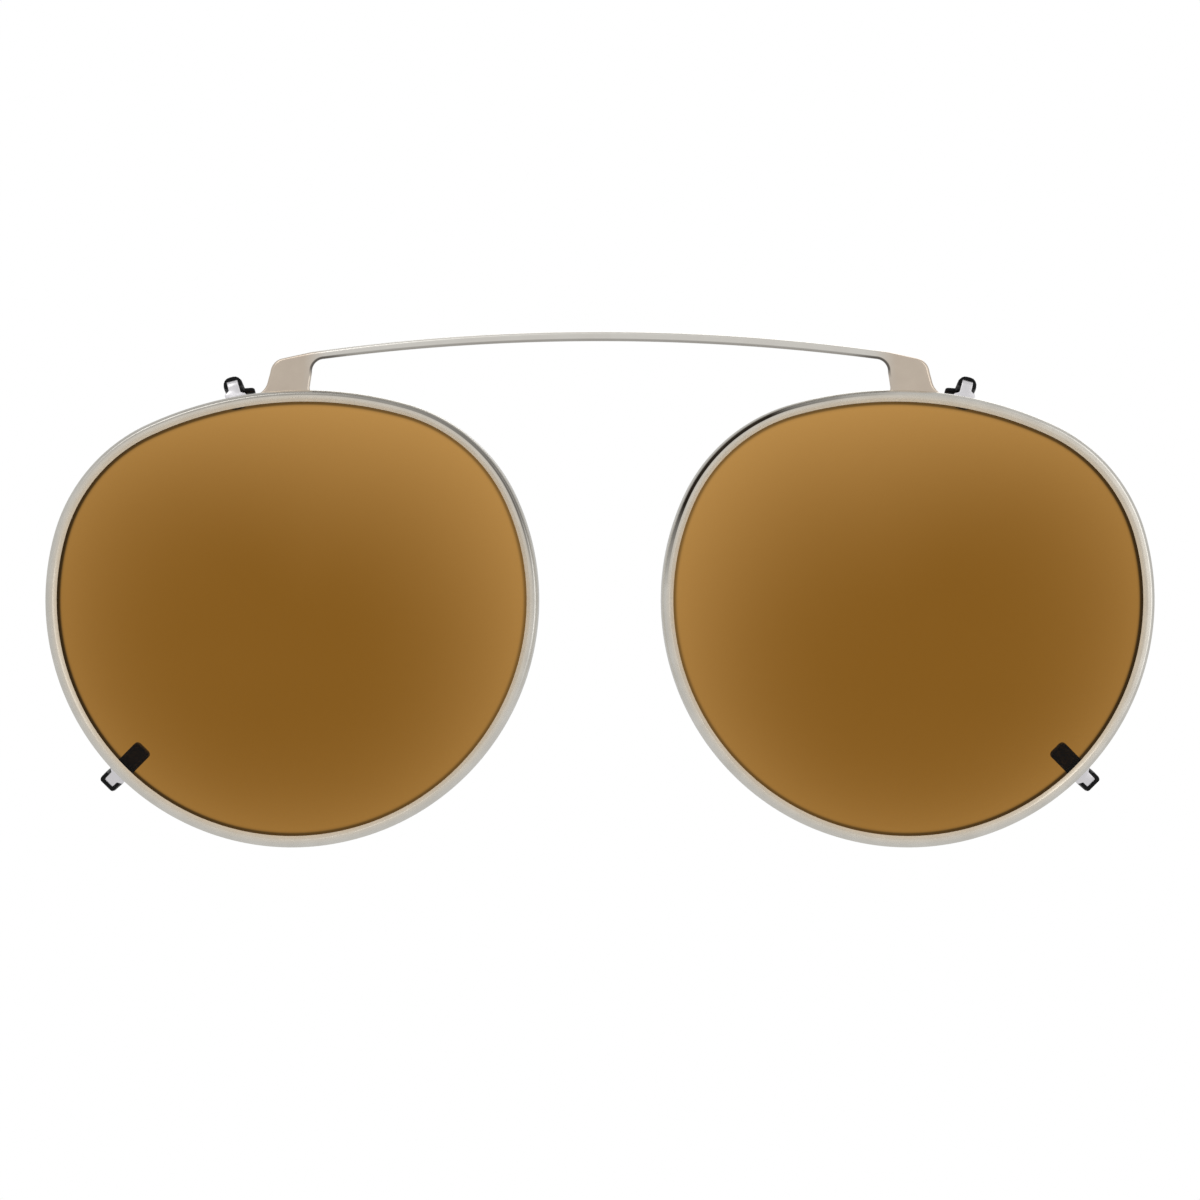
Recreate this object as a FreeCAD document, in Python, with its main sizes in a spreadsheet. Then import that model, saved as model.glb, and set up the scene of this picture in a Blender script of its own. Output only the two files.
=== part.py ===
import FreeCAD, Part
import math
import os

import Sketcher

# Clip-on sun lenses: two thin metal rims with snapped-in lenses, one bowed bar that joins them,
# and four hooks with soft sleeves that hold a pair of spectacles.
#
# Frame: +Z up, the front faces -Y, +X to the right as seen from the front.
# The origin lies midway between the lenses, on the plane where the host spectacles' front bears.
#
# Each half is drawn once, as the left one, in its own eye frame: the lens axis is Y, the origin is the
# centre of the outline's bottom arc on the lens's front face. The right half is its mirror image.

DIMENSIONS = [
    # alias, value (mm or degrees), meaning
    ("bottom_radius", 24.75, "opening outline: bottom arc, half of the opening's width"),
    ("corner_radius", 16.6, "opening outline: upper side arcs"),
    ("top_radius", 39.0, "opening outline: top arc"),
    ("side_angle", 20.0, "how far above the horizontal the bottom arc ends"),
    ("eye_across", 32.5, "X distance of each eye origin from the middle"),
    ("eye_depth", 3.7, "how far each eye origin lies in front of the bearing plane"),
    ("eye_up", 1.0, "height of each eye origin"),
    ("lean", 4.5, "outward lean of each outline's axis"),
    ("wrap", 4.0, "backward turn of each eye towards the temple"),
    ("curve_radius", 150.0, "sphere that the lens's front face lies on"),
    ("blank_radius", 31.0, "radius of the round blanks before edging"),
    ("lens_thick", 1.1, "lens thickness"),
    ("lens_bite", 0.3, "how far the lens edge enters the rim's groove"),
    ("rim_width", 1.2, "rim width seen from the front"),
    ("rim_front", 0.55, "rim metal in front of the lens"),
    ("rim_rear", 0.35, "rim metal behind the lens"),
    ("groove_deep", 0.36, "depth of the lens groove"),
    ("fit_gap", 0.03, "play between snapped or brazed pieces"),
    ("front_bevel", 0.4, "bevel on the rim's front inner edge"),
    ("outer_bevel", 0.28, "bevel on the rim's front outer edge"),
    ("bar_top", 29.1, "height of the bar's top at the middle"),
    ("bar_drop", 2.11, "fall of the bar's top from the middle to the riser"),
    ("bar_tall", 0.98, "bar height at the middle"),
    ("bar_thin", 0.82, "bar height at its ends"),
    ("bar_deep", 1.2, "bar and riser depth, front to back"),
    ("bar_bow", 1.15, "how far the middle of the bar stands in front of the risers"),
    ("riser_inner", 30.2, "X of each riser's inner edge, just below its throat"),
    ("riser_slant", 0.6, "how much further out the riser's inner edge is at its foot"),
    ("riser_width", 4.35, "riser width below the shoulder"),
    ("riser_root", 21.75, "height above the eye origin where the riser meets the rim's middle"),
    ("riser_slope", 1.0, "fall of the riser's top edge over its width"),
    ("shoulder_round", 1.1, "how far the riser's rounded outer corner reaches along both its edges"),
    ("shoulder_lift", 0.3, "how far the rounded corner begins above the shoulder's level"),
    ("shoulder_arc", 1.6, "radius of the riser's rounded outer corner"),
    ("riser_throat", 1.3, "how far the round between riser and bar reaches along both of them"),
    ("throat_lift", 0.11, "rise of the bar's underside over the throat's reach"),
    ("throat_arc", 1.33, "radius of the throat"),
    ("riser_spread", 0.25, "how much further out the riser's outer edge is where its flare begins"),
    ("riser_flare", 1.5, "width and height of the concave flare at the riser's outer foot"),
    ("flare_arc", 1.9, "radius of the flare"),
    ("flare_top", 24.0, "height where the riser's outer flare begins"),
    ("foot_level", 21.0, "height inside the rim where the riser's profile is closed"),
    ("strip_width", 1.15, "hook strip width"),
    ("strip_thick", 0.4, "hook strip thickness"),
    ("strip_bend", 0.5, "hook strip centre-line bend radius"),
    ("hook_gap", 0.14, "play between the hook's foot and the rim's rear face"),
    ("top_rise", 1.74, "a top strip's centre line outside the rim's outer wall"),
    ("bottom_rise", 1.49, "a bottom strip's centre line outside the rim's outer wall"),
    ("hook_foot", 0.81, "length of the strip's foot behind the rim"),
    ("foot_width", 2.2, "width of the foot plate that is brazed behind the rim"),
    ("far_narrows", 0.49, "distance outside the wall where the foot's side away from the toe narrows"),
    ("near_narrows", 0.09, "the same on the side of the toe"),
    ("foot_taper", 0.4, "distance over which the foot plate narrows to the strip"),
    ("hook_reach", 4.35, "front to rear distance between the strip's foot and lip centre lines"),
    ("sleeve_width", 2.05, "soft sleeve width"),
    ("sleeve_outer", 0.42, "sleeve wall outside the strip"),
    ("sleeve_tip", 0.35, "sleeve beyond the strip's end"),
    ("sleeve_start", 0.1, "gap between the strip's first leg and the sleeve's mouth"),
    ("inner_round", 0.25, "round in the sleeve's throat"),
    ("top_round", 0.85, "round along the back of a top sleeve"),
    ("bottom_round", 0.3, "round along the back of a bottom sleeve"),
    ("bottom_lip", 2.41, "how far the bottom lip's strip reaches inside the rim's outer wall"),
    ("top_lip", 0.05, "how far the top lip's strip reaches inside the rim's outer wall"),
    ("bottom_angle", 220.1, "polar angle of the bottom hook in the eye frame"),
    ("top_angle", 101.1, "polar angle of the top hook in the eye frame"),
    ("toe_reach", 2.0, "how far the top sleeve's toe reaches sideways from the hook's middle"),
    ("toe_tall", 0.6, "toe height"),
    ("toe_root", 1.42, "distance of the toe's middle line outside the rim's wall, at the hook's middle"),
    ("toe_tip", 1.02, "distance of the toe's middle line outside the rim's wall, at its tip"),
    ("toe_round", 0.25, "round of the toe's tip"),
]

THROUGH = 60.0          # mm, longer than any piece is deep: cuts that go right through
OVERHANG = 1.0          # mm, how far a cutting profile runs past the piece that it cuts
SAME = 1e-4             # mm, two lengths closer than this are equal


class Size:
    """A length or an angle held twice: as sheet expression text and as the number it gives now."""

    def __init__(self, text, value):
        self.text = text
        self.value = value

    def __add__(self, other):
        other = as_size(other)
        return Size("(%s + %s)" % (self.text, other.text), self.value + other.value)

    def __sub__(self, other):
        other = as_size(other)
        return Size("(%s - %s)" % (self.text, other.text), self.value - other.value)

    def __mul__(self, other):
        other = as_size(other)
        return Size("(%s * %s)" % (self.text, other.text), self.value * other.value)

    def __truediv__(self, other):
        other = as_size(other)
        return Size("(%s / %s)" % (self.text, other.text), self.value / other.value)

    def __neg__(self):
        return Size("(0 - %s)" % self.text, -self.value)


def as_size(number):
    if isinstance(number, Size):
        return number
    return Size(repr(float(number)), float(number))


def cosine(angle):
    return Size("cos(%s)" % angle.text, math.cos(math.radians(angle.value)))


def sine(angle):
    return Size("sin(%s)" % angle.text, math.sin(math.radians(angle.value)))


def root(number):
    return Size("sqrt(%s)" % number.text, math.sqrt(number.value))


def make_sheet(doc):
    """Put the driving dimensions in a sheet and return them by alias."""
    sheet = doc.addObject("Spreadsheet::Sheet", "dims")
    for row, (alias, value, meaning) in enumerate(DIMENSIONS, start=1):
        sheet.set("A%d" % row, meaning)
        sheet.set("B%d" % row, str(value))
        sheet.setAlias("B%d" % row, alias)
    doc.recompute()
    return {alias: Size("dims.%s" % alias, float(sheet.get(alias))) for alias, _, _ in DIMENSIONS}


def origin_plane(body, role):
    for feature in body.Origin.OriginFeatures:
        if feature.Role == role:
            return feature
    raise RuntimeError("no origin plane " + role)


def new_sketch(body, name, role):
    """An empty sketch on one of the body's own origin planes.

    XZ_Plane: sketch axes X and Z, facing -Y. YZ_Plane: Y and Z, facing +X. XY_Plane: X and Y, facing +Z.
    """
    sketch = body.newObject("Sketcher::SketchObject", name)
    sketch.AttachmentSupport = [(origin_plane(body, role), "")]
    sketch.MapMode = "FlatFace"
    return sketch


def drive(sketch, constraint, size):
    """Add a dimensional constraint and bind it to the sheet."""
    index = sketch.addConstraint(constraint)
    sketch.setExpression("Constraints[%d]" % index, size.text)


def place_point(sketch, geometry, point, x, y):
    """Hold a point of the sketch at x, y from the sketch's origin."""
    for axis, size, kind in ((-2, x, "DistanceX"), (-1, y, "DistanceY")):
        if abs(size.value) < SAME:
            sketch.addConstraint(Sketcher.Constraint("PointOnObject", geometry, point, axis))
        else:
            drive(sketch, Sketcher.Constraint(kind, -1, 1, geometry, point, size.value), size)


def arc_between(first, last, radius, turn):
    """The short arc from first to last; turn is +1 for anticlockwise and -1 for clockwise."""
    start, end = (first, last) if turn > 0 else (last, first)
    chord = end - start
    rise = math.sqrt(radius ** 2 - (chord.Length / 2) ** 2)
    left = FreeCAD.Vector(-chord.y, chord.x, 0).normalize()
    centre = (start + end) * 0.5 + left * rise
    circle = Part.Circle(centre, FreeCAD.Vector(0, 0, 1), radius)
    angles = [math.atan2(point.y - centre.y, point.x - centre.x) for point in (start, end)]
    return Part.ArcOfCircle(circle, angles[0], angles[1])


def draw_profile(sketch, corners):
    """A closed profile through corners (x, y, bend), every corner dimensioned.

    bend describes the side that leaves the corner: None for a straight one, or (radius, turn) for an arc.
    """
    sides = []
    for number, (x, y, bend) in enumerate(corners):
        next_x, next_y, _ = corners[(number + 1) % len(corners)]
        first = FreeCAD.Vector(x.value, y.value, 0)
        last = FreeCAD.Vector(next_x.value, next_y.value, 0)
        if bend is None:
            geometry = sketch.addGeometry(Part.LineSegment(first, last))
            sides.append((geometry, 1, 2))
        else:
            radius, turn = bend
            geometry = sketch.addGeometry(arc_between(first, last, radius.value, turn))
            sides.append((geometry, 1, 2) if turn > 0 else (geometry, 2, 1))
            drive(sketch, Sketcher.Constraint("Radius", geometry, radius.value), radius)
    for number, (geometry, begin, finish) in enumerate(sides):
        next_geometry, next_begin, _ = sides[(number + 1) % len(sides)]
        sketch.addConstraint(Sketcher.Constraint("Coincident", geometry, finish, next_geometry, next_begin))
        place_point(sketch, geometry, begin, corners[number][0], corners[number][1])


def draw_outline(sketch, sizes, offset):
    """The lens opening's outline of four tangent arcs, grown outwards by offset."""
    spread = sizes["bottom_radius"] - sizes["corner_radius"]
    across = spread * cosine(sizes["side_angle"])
    side = sizes["side_angle"].value
    up = spread.value * math.sin(math.radians(side))
    crown = math.degrees(math.asin(across.value / (sizes["top_radius"].value - sizes["corner_radius"].value)))
    top_down = up - (sizes["top_radius"].value - sizes["corner_radius"].value) * math.cos(math.radians(crown))
    arcs = [
        (0, 0, sizes["bottom_radius"], 180 - side, 360 + side),
        (across.value, up, sizes["corner_radius"], side, 90 - crown),
        (0, top_down, sizes["top_radius"], 90 - crown, 90 + crown),
        (-across.value, up, sizes["corner_radius"], 90 + crown, 180 - side),
    ]
    names = []
    for x, y, radius, first, last in arcs:
        circle = Part.Circle(FreeCAD.Vector(x, y, 0), FreeCAD.Vector(0, 0, 1), radius.value + offset.value)
        names.append(sketch.addGeometry(Part.ArcOfCircle(circle, math.radians(first), math.radians(last))))
    for number, name in enumerate(names):
        following = names[(number + 1) % len(names)]
        sketch.addConstraint(Sketcher.Constraint("Tangent", name, 2, following, 1))
        radius = arcs[number][2] + offset
        drive(sketch, Sketcher.Constraint("Radius", name, radius.value), radius)
    bottom, right, _, left = names
    sketch.addConstraint(Sketcher.Constraint("Coincident", bottom, 3, -1, 1))
    drive(sketch, Sketcher.Constraint("DistanceX", -1, 1, right, 3, across.value), across)
    drive(sketch, Sketcher.Constraint("DistanceX", left, 3, -1, 1, across.value), across)


def new_body(doc, name):
    body = doc.addObject("PartDesign::Body", name)
    body.Label = name
    return body


def pad_both_ways(body, name, sketch, length):
    pad = body.newObject("PartDesign::Pad", name)
    pad.Profile = sketch
    pad.SideType = "Symmetric"
    pad.setExpression("Length", length.text)
    return pad


def cut_through(doc, body, name, sketch):
    """Remove the sketch's area right through the body, and make sure that it took something away."""
    before = body.Shape.Volume
    pocket = body.newObject("PartDesign::Pocket", name)
    pocket.Profile = sketch
    pocket.SideType = "Symmetric"
    pocket.Length = THROUGH
    doc.recompute()
    if body.Shape.Volume > before - SAME:
        raise RuntimeError(name + " cut nothing")


def dish(doc, name, sizes, front, rear):
    """A round spherical blank, from front ahead of the lens's front face to rear behind it."""
    body = new_body(doc, name)
    sketch = new_sketch(body, name + "_section", "YZ_Plane")
    centre = sizes["curve_radius"]
    outer = centre + front
    inner = centre - rear
    edge = sizes["blank_radius"]
    outer_edge = centre - root(outer * outer - edge * edge)
    inner_edge = centre - root(inner * inner - edge * edge)
    zero = as_size(0)
    draw_profile(sketch, [
        (-front, zero, None),
        (rear, zero, (inner, -1)),
        (inner_edge, edge, None),
        (outer_edge, edge, (outer, 1)),
    ])
    blank = body.newObject("PartDesign::Revolution", name + "_blank")
    blank.Profile = sketch
    blank.ReferenceAxis = (sketch, ["H_Axis"])
    blank.Angle = 360.0
    doc.recompute()
    return body


def edge_to_outline(doc, body, sizes, offset):
    """Edge a blank to the outline grown by offset, as an optician edges a round lens."""
    sketch = new_sketch(body, body.Name + "_edging", "XZ_Plane")
    draw_outline(sketch, sizes, offset)
    reach = sizes["blank_radius"] + OVERHANG
    ring = sketch.addGeometry(Part.Circle(FreeCAD.Vector(), FreeCAD.Vector(0, 0, 1), reach.value))
    sketch.addConstraint(Sketcher.Constraint("Coincident", ring, 3, -1, 1))
    drive(sketch, Sketcher.Constraint("Radius", ring, reach.value), reach)
    cut_through(doc, body, body.Name + "_edged", sketch)


def rim_blank(doc, sizes):
    """The rim's ring before its groove, with its bevelled front edges."""
    body = dish(doc, "rim_blank", sizes, sizes["rim_front"], sizes["lens_thick"] + sizes["rim_rear"])
    edge_to_outline(doc, body, sizes, sizes["rim_width"])
    opening = new_sketch(body, "rim_opening", "XZ_Plane")
    draw_outline(opening, sizes, as_size(0))
    cut_through(doc, body, "rim_opened", opening)
    bevel_front(doc, body, "front_outer_bevel", sizes, sizes["outer_bevel"], sizes["rim_width"])
    bevel_front(doc, body, "front_inner_bevel", sizes, sizes["front_bevel"], as_size(0))
    return body


def edges_of(faces):
    return [edge for face in faces for edge in face.Edges]


def bevel_front(doc, body, name, sizes, size, offset):
    """Bevel the front edge of the rim's wall that follows the outline grown by offset."""
    front_radius = sizes["curve_radius"].value + sizes["rim_front"].value
    wall_radii = [sizes[arc].value + offset.value for arc in ("bottom_radius", "corner_radius", "top_radius")]
    shape = body.Shape
    front = [face for face in shape.Faces
             if isinstance(face.Surface, Part.Sphere) and abs(face.Surface.Radius - front_radius) < SAME]
    walls = [face for face in shape.Faces
             if isinstance(face.Surface, Part.Cylinder)
             and min(abs(face.Surface.Radius - radius) for radius in wall_radii) < SAME]
    front_edges = edges_of(front)
    shared = [edge for edge in edges_of(walls) if any(edge.isSame(other) for other in front_edges)]
    names = ["Edge%d" % number for number, edge in enumerate(shape.Edges, start=1)
             if any(edge.isSame(other) for other in shared)]
    ring = body.Tip
    bevel = body.newObject("PartDesign::Chamfer", name)
    bevel.Base = (ring, names)
    bevel.setExpression("Size", size.text)
    doc.recompute()


def half_placement(sizes):
    """Where the left eye frame sits: wrapped back towards the temple and leaning outwards."""
    turn = FreeCAD.Rotation(FreeCAD.Vector(0, 0, 1), -sizes["wrap"].value)
    lean = FreeCAD.Rotation(FreeCAD.Vector(0, 1, 0), -sizes["lean"].value)
    base = FreeCAD.Vector(-sizes["eye_across"].value, -sizes["eye_depth"].value, sizes["eye_up"].value)
    return FreeCAD.Placement(base, turn * lean)


def cut(doc, name, base, tool, placement):
    result = doc.addObject("Part::Cut", name)
    result.Label = name
    result.Base = base
    result.Tool = tool
    result.Placement = placement
    return result


def mirrored(doc, name, source):
    """The right-hand twin of a left-hand piece."""
    twin = doc.addObject("Part::Mirroring", name)
    twin.Label = name
    twin.Source = source
    twin.Base = FreeCAD.Vector(0, 0, 0)
    twin.Normal = FreeCAD.Vector(1, 0, 0)
    return twin


def left_rim(doc, sizes):
    """A thin rim with a groove that the lens snaps into."""
    blank = rim_blank(doc, sizes)
    gap = sizes["fit_gap"]
    groove = dish(doc, "rim_groove", sizes, gap, sizes["lens_thick"] + gap)
    edge_to_outline(doc, groove, sizes, sizes["groove_deep"])
    return cut(doc, "left_rim", blank, groove, half_placement(sizes))


def left_lens(doc, sizes):
    """A curved tinted lens whose edge sits in the rim's groove."""
    body = dish(doc, "left_lens", sizes, as_size(0), sizes["lens_thick"])
    edge_to_outline(doc, body, sizes, sizes["lens_bite"])
    body.Placement = half_placement(sizes)
    return body


def outer_rim_slug(doc, sizes):
    """A solid slug of the rim's outer outline plus the braze's play, which trims the risers' feet."""
    body = new_body(doc, "left_rim_slug")
    sketch = new_sketch(body, "left_rim_slug_outline", "XZ_Plane")
    draw_outline(sketch, sizes, sizes["rim_width"] + sizes["fit_gap"])
    pad_both_ways(body, "left_rim_slug_pad", sketch, as_size(THROUGH))
    body.Placement = half_placement(sizes)
    return body


def riser_corners(sizes, side):
    """One riser's corners, from the bar's top down its outer edge and up its inner edge.

    side is +1 for the right riser and -1 for the left one, whose list is then walked backwards.
    """
    inner = sizes["riser_inner"]
    outer = inner + sizes["riser_width"]
    bar_end = sizes["bar_top"] - sizes["bar_drop"]
    shoulder = bar_end - sizes["riser_slope"]
    under = bar_end - sizes["bar_thin"]
    points = [
        (inner, bar_end),
        (outer - sizes["shoulder_round"], shoulder + sizes["shoulder_lift"]),
        (outer, shoulder - sizes["shoulder_round"]),
        (outer + sizes["riser_spread"], sizes["flare_top"]),
        (outer + sizes["riser_flare"], sizes["flare_top"] - sizes["riser_flare"]),
        (outer + sizes["riser_flare"], sizes["foot_level"]),
        (inner + sizes["riser_slant"], sizes["foot_level"]),
        (inner, under - sizes["riser_throat"]),
        (inner - sizes["riser_throat"], under + sizes["throat_lift"]),
    ]
    return [(x * side, y) for x, y in points]


def draw_bridge(sketch, sizes):
    """The front view of the bar and its two risers, as one closed profile, walked clockwise."""
    right = riser_corners(sizes, 1)
    left = riser_corners(sizes, -1)
    inner = sizes["riser_inner"]
    drop = sizes["bar_drop"]
    top_arc = (inner * inner + drop * drop) / (drop * 2)
    under_x = right[-1][0]
    under_drop = sizes["bar_top"] - sizes["bar_tall"] - right[-1][1]
    under_arc = (under_x * under_x + under_drop * under_drop) / (under_drop * 2)
    shoulder = (sizes["shoulder_arc"], -1)
    flare = (sizes["flare_arc"], 1)
    throat = (sizes["throat_arc"], 1)
    right_bends = [None, shoulder, None, flare, None, None, None, throat, (under_arc, 1)]
    left_bends = [throat, None, None, None, flare, None, shoulder, None, (top_arc, -1)]
    corners = [(x, y, bend) for (x, y), bend in zip(right, right_bends)]
    corners += [(x, y, bend) for (x, y), bend in zip(reversed(left), left_bends)]
    draw_profile(sketch, corners)


def bridge(doc, sizes):
    """The bar and its risers: one piece, bowed forwards, whose feet are trimmed to the rims."""
    front = new_body(doc, "bridge_front_view")
    front_sketch = new_sketch(front, "bridge_outline", "XZ_Plane")
    draw_bridge(front_sketch, sizes)
    pad_both_ways(front, "bridge_front_pad", front_sketch, as_size(THROUGH))

    plan = new_body(doc, "bridge_plan_view")
    plan_sketch = new_sketch(plan, "bridge_bow", "XY_Plane")
    end = sizes["riser_inner"] + sizes["riser_width"] + sizes["riser_flare"] + OVERHANG
    bow = sizes["bar_bow"] * (end * end) / (sizes["eye_across"] * sizes["eye_across"])
    bow_radius = (end * end + bow * bow) / (bow * 2)
    riser_middle = -sizes["eye_depth"] + rim_middle_depth(sizes)
    front_end = riser_middle - sizes["bar_deep"] / 2 + bow - sizes["bar_bow"]
    rear_end = front_end + sizes["bar_deep"]
    draw_profile(plan_sketch, [
        (-end, rear_end, None),
        (-end, front_end, (bow_radius, 1)),
        (end, front_end, None),
        (end, rear_end, (bow_radius, -1)),
    ])
    pad_both_ways(plan, "bridge_plan_pad", plan_sketch, as_size(THROUGH * 2))

    both = doc.addObject("Part::Common", "bridge_bowed")
    both.Base = front
    both.Tool = plan
    left_slug = outer_rim_slug(doc, sizes)
    right_slug = mirrored(doc, "right_rim_slug", left_slug)
    left_trimmed = cut(doc, "bridge_left_trimmed", both, left_slug, FreeCAD.Placement())
    return cut(doc, "bridge", left_trimmed, right_slug, FreeCAD.Placement())


def rim_middle_depth(sizes):
    """Depth, behind the eye origin, of the rim's middle where the riser meets it."""
    radius = sizes["curve_radius"]
    middle = radius - (sizes["lens_thick"] + sizes["rim_rear"] - sizes["rim_front"]) / 2
    root_height = sizes["riser_root"]
    return radius - root(middle * middle - root_height * root_height)


def foot_depth(sizes):
    """Depth of the strip's foot, in its middle, behind the rim's rear face."""
    return sizes["hook_gap"] + sizes["strip_thick"] / 2


def strip_corners(sizes, thick, rise, lip):
    """A hook strip's side view: Y runs backwards from the rim's rear face, Z outwards from its wall.

    The strip runs out behind the rim, bends backwards over the host's rim and returns as the lip.
    """
    front = foot_depth(sizes)
    rear = front + sizes["hook_reach"]
    foot = sizes["hook_foot"]
    bend = sizes["strip_bend"]
    half = thick / 2
    outer_arc = (bend + half, -1)
    inner_arc = (bend - half, 1)
    return [
        (front - half, -foot, None),
        (front - half, rise - bend, outer_arc),
        (front + bend, rise + half, None),
        (rear - bend, rise + half, outer_arc),
        (rear + half, rise - bend, None),
        (rear + half, -lip, None),
        (rear - half, -lip, None),
        (rear - half, rise - bend, inner_arc),
        (rear - bend, rise - half, None),
        (front + bend, rise - half, inner_arc),
        (front + half, rise - bend, None),
        (front + half, -foot, None),
    ]


def sleeve_corners(sizes, rise, lip):
    """A sleeve's side view: it starts just behind the strip's first leg and covers the rest."""
    start = sizes["hook_gap"] + sizes["strip_thick"] + sizes["sleeve_start"]
    rear = foot_depth(sizes) + sizes["hook_reach"]
    bend = sizes["strip_bend"]
    half = sizes["strip_thick"] / 2 + sizes["sleeve_outer"]
    tip = lip + sizes["sleeve_tip"]
    inner = sizes["inner_round"]
    return [
        (start, rise + half, None),
        (rear - bend, rise + half, (bend + half, -1)),
        (rear + half, rise - bend, None),
        (rear + half, -tip, None),
        (rear - half, -tip, None),
        (rear - half, rise - half - inner, (inner, 1)),
        (rear - half - inner, rise - half, None),
        (start, rise - half, None),
    ]


def hook_strip(doc, name, sizes, rise, lip, placement):
    """A bent metal strip whose widened foot is fixed behind the rim."""
    body = new_body(doc, name)
    sketch = new_sketch(body, name + "_side_view", "YZ_Plane")
    draw_profile(sketch, strip_corners(sizes, sizes["strip_thick"], rise, lip))
    pad_both_ways(body, name + "_pad", sketch, sizes["strip_width"])
    plate = sketch_at_depth(body, name + "_foot_plate", foot_depth(sizes))
    wide = sizes["foot_width"] / 2
    narrow = sizes["strip_width"] / 2
    draw_profile(plate, [
        (-wide, -sizes["hook_foot"], None),
        (-wide, sizes["far_narrows"], None),
        (-narrow, sizes["far_narrows"] + sizes["foot_taper"], None),
        (narrow, sizes["far_narrows"] + sizes["foot_taper"], None),
        (narrow, sizes["near_narrows"] + sizes["foot_taper"], None),
        (wide, sizes["near_narrows"], None),
        (wide, -sizes["hook_foot"], None),
    ])
    pad_both_ways(body, name + "_foot", plate, sizes["strip_thick"])
    body.Placement = placement
    return body


def sketch_at_depth(body, name, depth):
    """An empty sketch in the hook's front view, at a depth behind the rim's rear face."""
    sketch = new_sketch(body, name, "XZ_Plane")
    sketch.AttachmentOffset = FreeCAD.Placement(FreeCAD.Vector(0, 0, -depth.value), FreeCAD.Rotation())
    sketch.setExpression(".AttachmentOffset.Base.z", (-depth).text)
    return sketch


def sleeve_cavity(doc, name, sizes, rise, lip):
    """The room that the strip takes up inside its sleeve, with a little play all round."""
    body = new_body(doc, name)
    sketch = new_sketch(body, name + "_side_view", "YZ_Plane")
    play = sizes["fit_gap"] * 2
    draw_profile(sketch, strip_corners(sizes, sizes["strip_thick"] + play, rise, lip + sizes["fit_gap"]))
    pad_both_ways(body, name + "_pad", sketch, sizes["strip_width"] + play)
    return body


def long_edges(shape, level):
    """Names of the straight edges that run along the hook at one height."""
    names = []
    for number, edge in enumerate(shape.Edges, start=1):
        first, last = edge.Vertexes[0].Point, edge.Vertexes[-1].Point
        along = abs(first.y - last.y) > SAME and abs(first.z - last.z) < SAME and abs(first.x - last.x) < SAME
        if along and abs(first.z - level) < SAME:
            names.append("Edge%d" % number)
    return names


def soft_sleeve(doc, name, sizes, rise, lip, rounding, with_toe, placement):
    """A soft sleeve pushed over the strip, with rounded back edges; the top ones have a toe as well."""
    body = new_body(doc, name + "_skin")
    sketch = new_sketch(body, name + "_side_view", "YZ_Plane")
    draw_profile(sketch, sleeve_corners(sizes, rise, lip))
    pad_both_ways(body, name + "_pad", sketch, sizes["sleeve_width"])
    doc.recompute()
    level = rise.value + sizes["strip_thick"].value / 2 + sizes["sleeve_outer"].value
    pad = body.Tip
    edges = long_edges(pad.Shape, level)
    fillet = body.newObject("PartDesign::Fillet", name + "_rounding")
    fillet.Base = (pad, edges)
    fillet.setExpression("Radius", rounding.text)
    doc.recompute()
    if with_toe:
        add_toe(doc, body, name, sizes)
    return cut(doc, name, body, sleeve_cavity(doc, name + "_cavity", sizes, rise, lip), placement)


def add_toe(doc, body, name, sizes):
    """The toe: a short round-ended block that stands out sideways from the sleeve's lip and droops."""
    sketch = sketch_at_depth(body, name + "_toe_outline", foot_depth(sizes) + sizes["hook_reach"])
    zero = as_size(0)
    reach = sizes["toe_reach"]
    half = sizes["toe_tall"] / 2
    draw_profile(sketch, [
        (zero, sizes["toe_root"] - half, None),
        (zero, sizes["toe_root"] + half, None),
        (reach, sizes["toe_tip"] + half, None),
        (reach, sizes["toe_tip"] - half, None),
    ])
    toe = pad_both_ways(body, name + "_toe", sketch, sizes["strip_thick"] + sizes["sleeve_outer"] * 2)
    doc.recompute()
    edges = []
    for number, edge in enumerate(toe.Shape.Edges, start=1):
        first, last = edge.Vertexes[0].Point, edge.Vertexes[-1].Point
        at_tip = abs(first.x - reach.value) < SAME and abs(last.x - reach.value) < SAME
        if at_tip and abs(first.z - last.z) < SAME:
            edges.append("Edge%d" % number)
    rounded = body.newObject("PartDesign::Fillet", name + "_toe_rounding")
    rounded.Base = (toe, edges)
    rounded.setExpression("Radius", sizes["toe_round"].text)
    doc.recompute()


def wall_distance(sizes, angle):
    """How far the rim's outer wall lies from the eye frame's Y axis, at a polar angle."""
    bottom = sizes["bottom_radius"].value + sizes["rim_width"].value
    if angle > 180 - sizes["side_angle"].value:
        return bottom
    spread = sizes["bottom_radius"].value - sizes["corner_radius"].value
    side = math.radians(sizes["side_angle"].value)
    long_side = sizes["top_radius"].value - sizes["corner_radius"].value
    centre = spread * math.sin(side) - math.sqrt(long_side ** 2 - (spread * math.cos(side)) ** 2)
    top = sizes["top_radius"].value + sizes["rim_width"].value
    turn = math.radians(angle)
    return centre * math.sin(turn) + math.sqrt(top ** 2 - (centre * math.cos(turn)) ** 2)


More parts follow.
